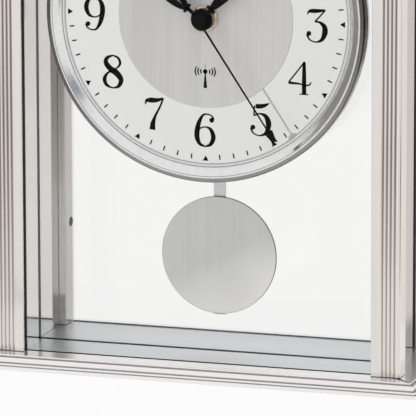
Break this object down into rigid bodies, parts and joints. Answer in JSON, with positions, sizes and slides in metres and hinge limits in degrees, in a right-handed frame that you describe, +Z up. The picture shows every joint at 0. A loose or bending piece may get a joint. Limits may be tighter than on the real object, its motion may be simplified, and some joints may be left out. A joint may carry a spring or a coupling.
{
  "type": "desk pendulum clock",
  "caption": "Glazed metal desk clock with fluted columns, a round dial on a glass pane, a swinging disc pendulum and a hinged glass rear door.",
  "frame": {"origin": "on the table, under the middle of the part's box", "axes": "+Z up, the dial faces -Y, +X is to the right of a viewer in front of the dial"},
  "size_m": [0.187, 0.0756, 0.2248],
  "materials": {
    "polished_aluminium": "polished",
    "brushed_aluminium": "brushed",
    "brushed_silver": "fine vertical brushing",
    "rod_metal": "brushed",
    "bezel_chrome": "polished",
    "clear_glass": "clear, polished edges",
    "dial_white": "satin white",
    "hand_black": "satin black",
    "brass": "turned",
    "gear_plastic": "moulded",
    "black_plastic": "moulded",
    "grey_plastic": "moulded",
    "button_red": "moulded",
    "button_white": "moulded",
    "black_rubber": "matt",
    "steel": "nickel plated",
    "contact_steel": "plated spring sheet",
    "coil_copper": "enamelled copper wire",
    "board_green": "lacquered board",
    "ferrite": "sintered",
    "cell_wrap": "plain printed sleeve"
  },
  "bodies": {
    "case": {"base_front_rail": "polished_aluminium", "base_left_rail": "polished_aluminium", "base_right_rail": "polished_aluminium", "top_front_rail": "polished_aluminium", "top_left_rail": "polished_aluminium", "top_right_rail": "polished_aluminium", "front_left_column": "polished_aluminium", "front_right_column": "polished_aluminium", "rear_left_column": "polished_aluminium", "rear_right_column": "polished_aluminium", "rear_posts": "polished_aluminium", "top_sheet": "polished_aluminium", "floor_plate": "brushed_aluminium", "ceiling_plate": "brushed_aluminium", "left_side_wall": "brushed_aluminium", "right_side_wall": "brushed_aluminium", "dial_centre_disc": "brushed_silver", "bezel": "bezel_chrome", "reflector_ring": "bezel_chrome", "front_glass": "clear_glass", "dial_glass": "clear_glass", "dial_plate": "dial_white", "fixing_nut": "brass", "centre_bush": "brass", "train_plate": "gear_plastic", "movement_case": "black_plastic", "movement_cover": "black_plastic", "insert_cup": "black_plastic", "retaining_ring": "grey_plastic", "foot_pads": "black_rubber", "rubber_washer": "black_rubber", "door_stops": "black_rubber", "column_screws": "steel", "door_pivot_pins": "steel", "motor_stators": "steel", "battery_contacts": "contact_steel", "motor_coils": "coil_copper", "pendulum_drive_coil": "coil_copper", "circuit_board": "board_green", "aerial": "ferrite", "battery": "cell_wrap"},
    "hour_hand_set": {"hour_hand": "hand_black", "hour_wheel": "gear_plastic"},
    "minute_hand_set": {"minute_hand": "hand_black", "minute_wheel": "gear_plastic"},
    "second_hand_set": {"second_hand": "hand_black", "second_wheel": "gear_plastic"},
    "motion_wheel_set": {"motion_wheel": "gear_plastic"},
    "minutes_idler_set": {"minutes_idler": "gear_plastic"},
    "minutes_rotor_set": {"minutes_rotor": "gear_plastic"},
    "seconds_idler_set": {"seconds_idler": "gear_plastic"},
    "seconds_rotor_set": {"seconds_rotor": "gear_plastic"},
    "pendulum": {"pendulum_hanger": "black_plastic", "pendulum_rod": "rod_metal", "pendulum_bob": "brushed_silver"},
    "door": {"rear_door": "clear_glass", "door_hinge_shoes": "steel", "door_knob": "steel"},
    "set_button_set": {"set_button": "button_red"},
    "reset_button_set": {"reset_button": "button_white"}
  },
  "joints": [
    {"name": "pendulum_swing", "type": "hinge", "parent": "case", "child": "pendulum", "pos_m": [0, 0.00455, 0.12995], "axis": [0, 1, 0], "range_deg": [-12, 12]},
    {"name": "minute_hand_spin", "type": "hinge", "parent": "case", "child": "minute_hand_set", "pos_m": [0, -0.00745, 0.14395], "axis": [0, 1, 0], "continuous": true},
    {"name": "hour_hand_spin", "type": "hinge", "parent": "case", "child": "hour_hand_set", "pos_m": [0, -0.01005, 0.14395], "axis": [0, 1, 0], "continuous": true},
    {"name": "motion_wheel_spin", "type": "hinge", "parent": "case", "child": "motion_wheel_set", "pos_m": [0.008, -0.00875, 0.14395], "axis": [0, 1, 0], "continuous": true},
    {"name": "minutes_idler_spin", "type": "hinge", "parent": "case", "child": "minutes_idler_set", "pos_m": [-0.00799, -0.00745, 0.14104], "axis": [0, 1, 0], "continuous": true},
    {"name": "minutes_rotor_spin", "type": "hinge", "parent": "case", "child": "minutes_rotor_set", "pos_m": [-0.01456, -0.00455, 0.13865], "axis": [0, 1, 0], "continuous": true},
    {"name": "second_hand_spin", "type": "hinge", "parent": "case", "child": "second_hand_set", "pos_m": [0, -0.00455, 0.14395], "axis": [0, 1, 0], "continuous": true},
    {"name": "seconds_idler_spin", "type": "hinge", "parent": "case", "child": "seconds_idler_set", "pos_m": [0.0036, -0.00455, 0.13772], "axis": [0, 1, 0], "continuous": true},
    {"name": "seconds_rotor_spin", "type": "hinge", "parent": "case", "child": "seconds_rotor_set", "pos_m": [0.0071, -0.00455, 0.13165], "axis": [0, 1, 0], "continuous": true},
    {"name": "rear_door_hinge", "type": "hinge", "parent": "case", "child": "door", "pos_m": [0.0686, 0.0316, 0.14395], "axis": [0, 0, -1], "range_deg": [0, 100]},
    {"name": "set_button_press", "type": "slide", "parent": "case", "child": "set_button_set", "axis": [0, -1, 0], "range_m": [0, 0.0008], "stiffness_N_per_m": 400},
    {"name": "reset_button_press", "type": "slide", "parent": "case", "child": "reset_button_set", "axis": [0, -1, 0], "range_m": [0, 0.0008], "stiffness_N_per_m": 400}
  ],
  "couplings": [
    {"joint": "motion_wheel_spin", "follows": "minute_hand_spin", "ratio": -0.33333},
    {"joint": "hour_hand_spin", "follows": "minute_hand_spin", "ratio": 0.083333},
    {"joint": "minutes_idler_spin", "follows": "minute_hand_spin", "ratio": -7.5},
    {"joint": "minutes_rotor_spin", "follows": "minute_hand_spin", "ratio": 45},
    {"joint": "seconds_idler_spin", "follows": "second_hand_spin", "ratio": -5},
    {"joint": "seconds_rotor_spin", "follows": "second_hand_spin", "ratio": 30}
  ]
}
